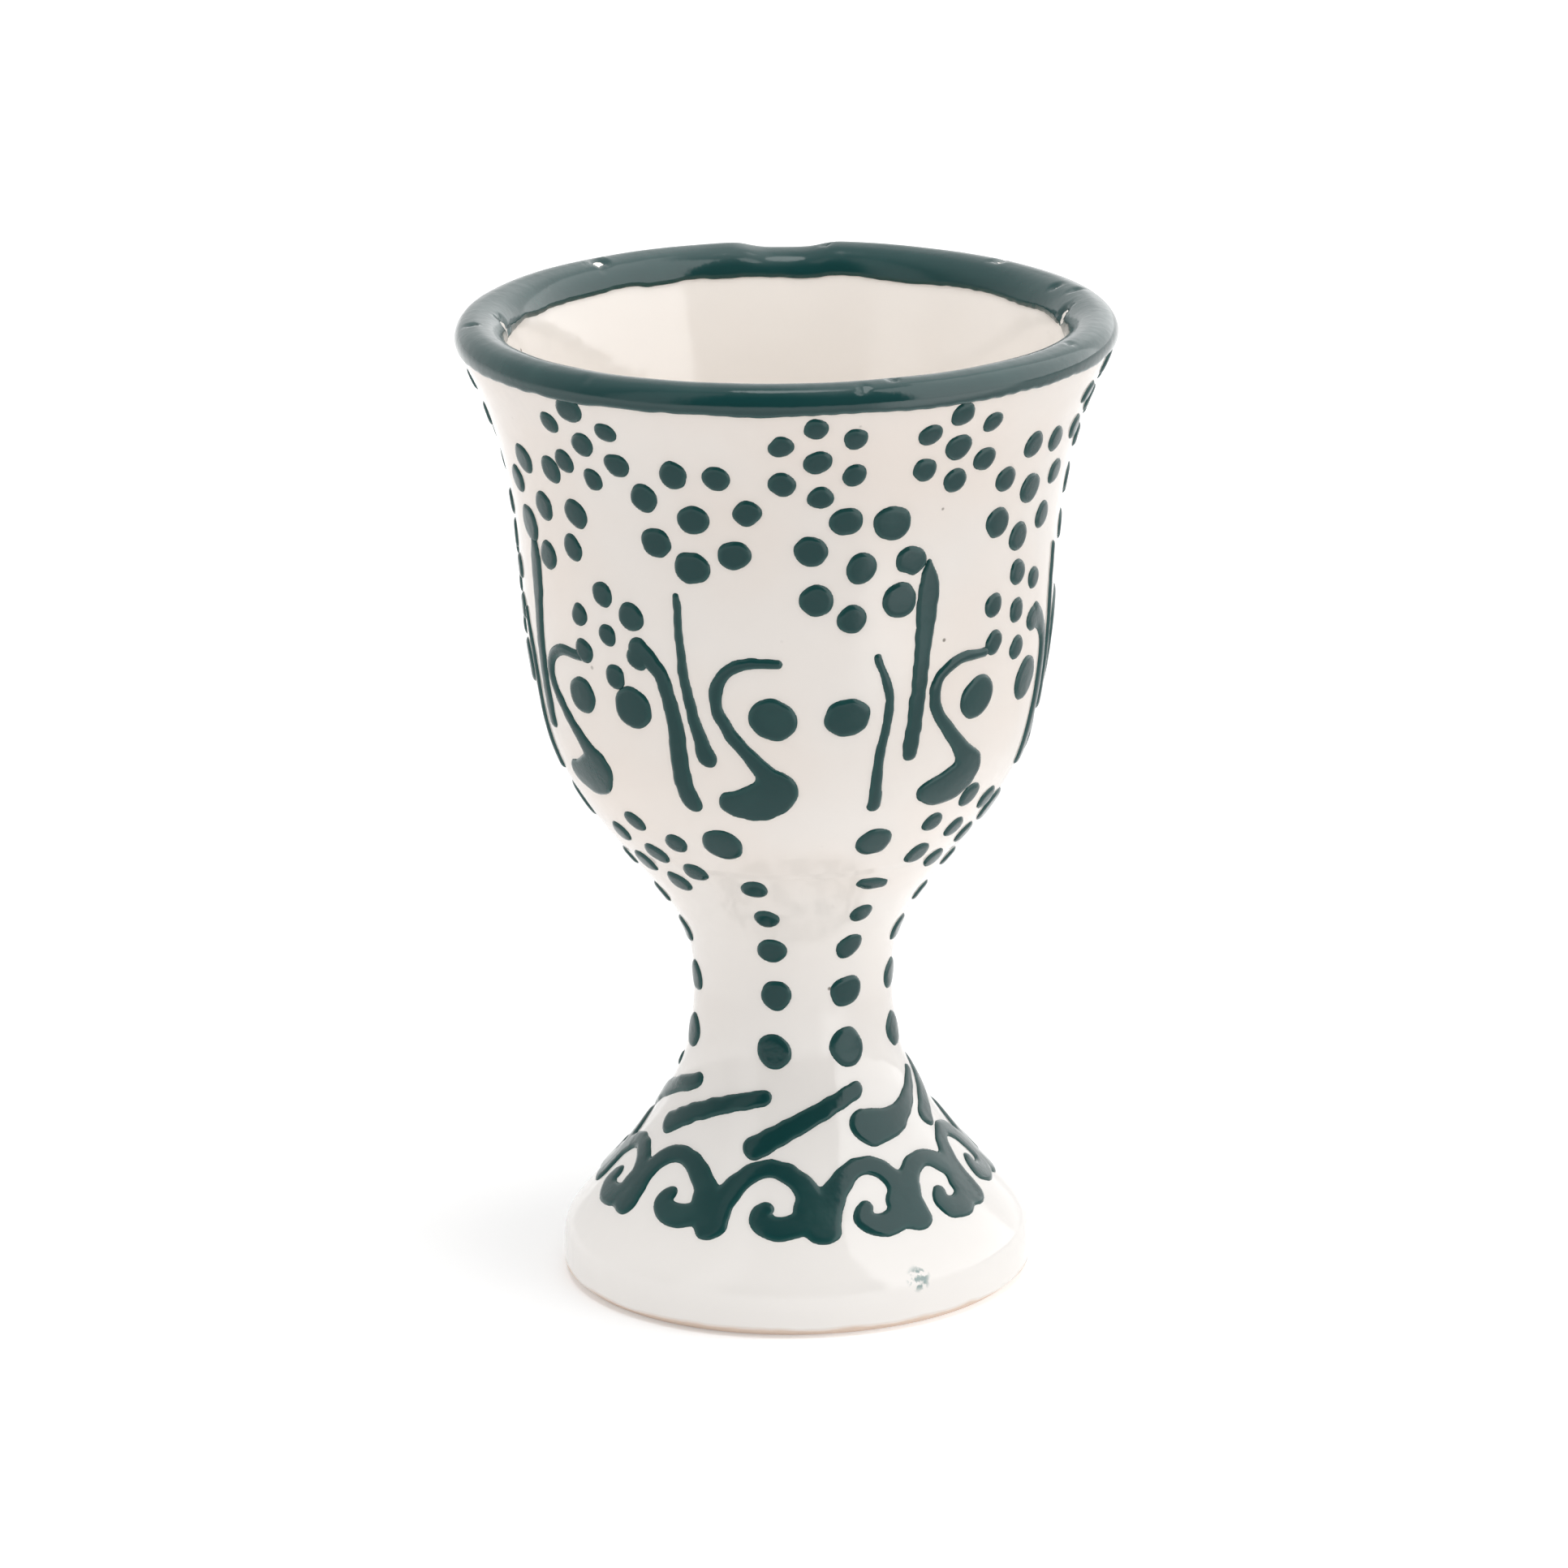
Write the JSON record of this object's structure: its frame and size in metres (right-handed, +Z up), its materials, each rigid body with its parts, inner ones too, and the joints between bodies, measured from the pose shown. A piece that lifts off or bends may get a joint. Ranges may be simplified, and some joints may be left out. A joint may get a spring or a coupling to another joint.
{
  "type": "egg cup",
  "caption": "Footed egg cup with a waisted stem, a flared bowl that seats an egg, a slip-coated rim and raised slip-trailed rosettes, tendrils, dot columns and a running foot scroll.",
  "frame": {"origin": "middle of the foot's resting face", "axes": "+Z up along the cup's turning axis; the pictured front faces -Y and +X is to its right"},
  "size_m": [0.053, 0.053, 0.08],
  "materials": {
    "glaze": "glossy warm off-white glaze over buff earthenware",
    "slip": "glossy dark teal-green raised slip"
  },
  "bodies": {
    "root": {"bowl": "glaze", "pedestal": "glaze", "rim_band": "slip", "rim_rosettes": "slip", "shoulder_rosettes": "slip", "belly_rosettes": "slip", "tendrils": "slip", "belly_strokes": "slip", "eye_dots": "slip", "under_bowl_rosettes": "slip", "stem_dot_columns": "slip", "stem_commas": "slip", "foot_scrolls": "slip"}
  },
  "joints": []
}
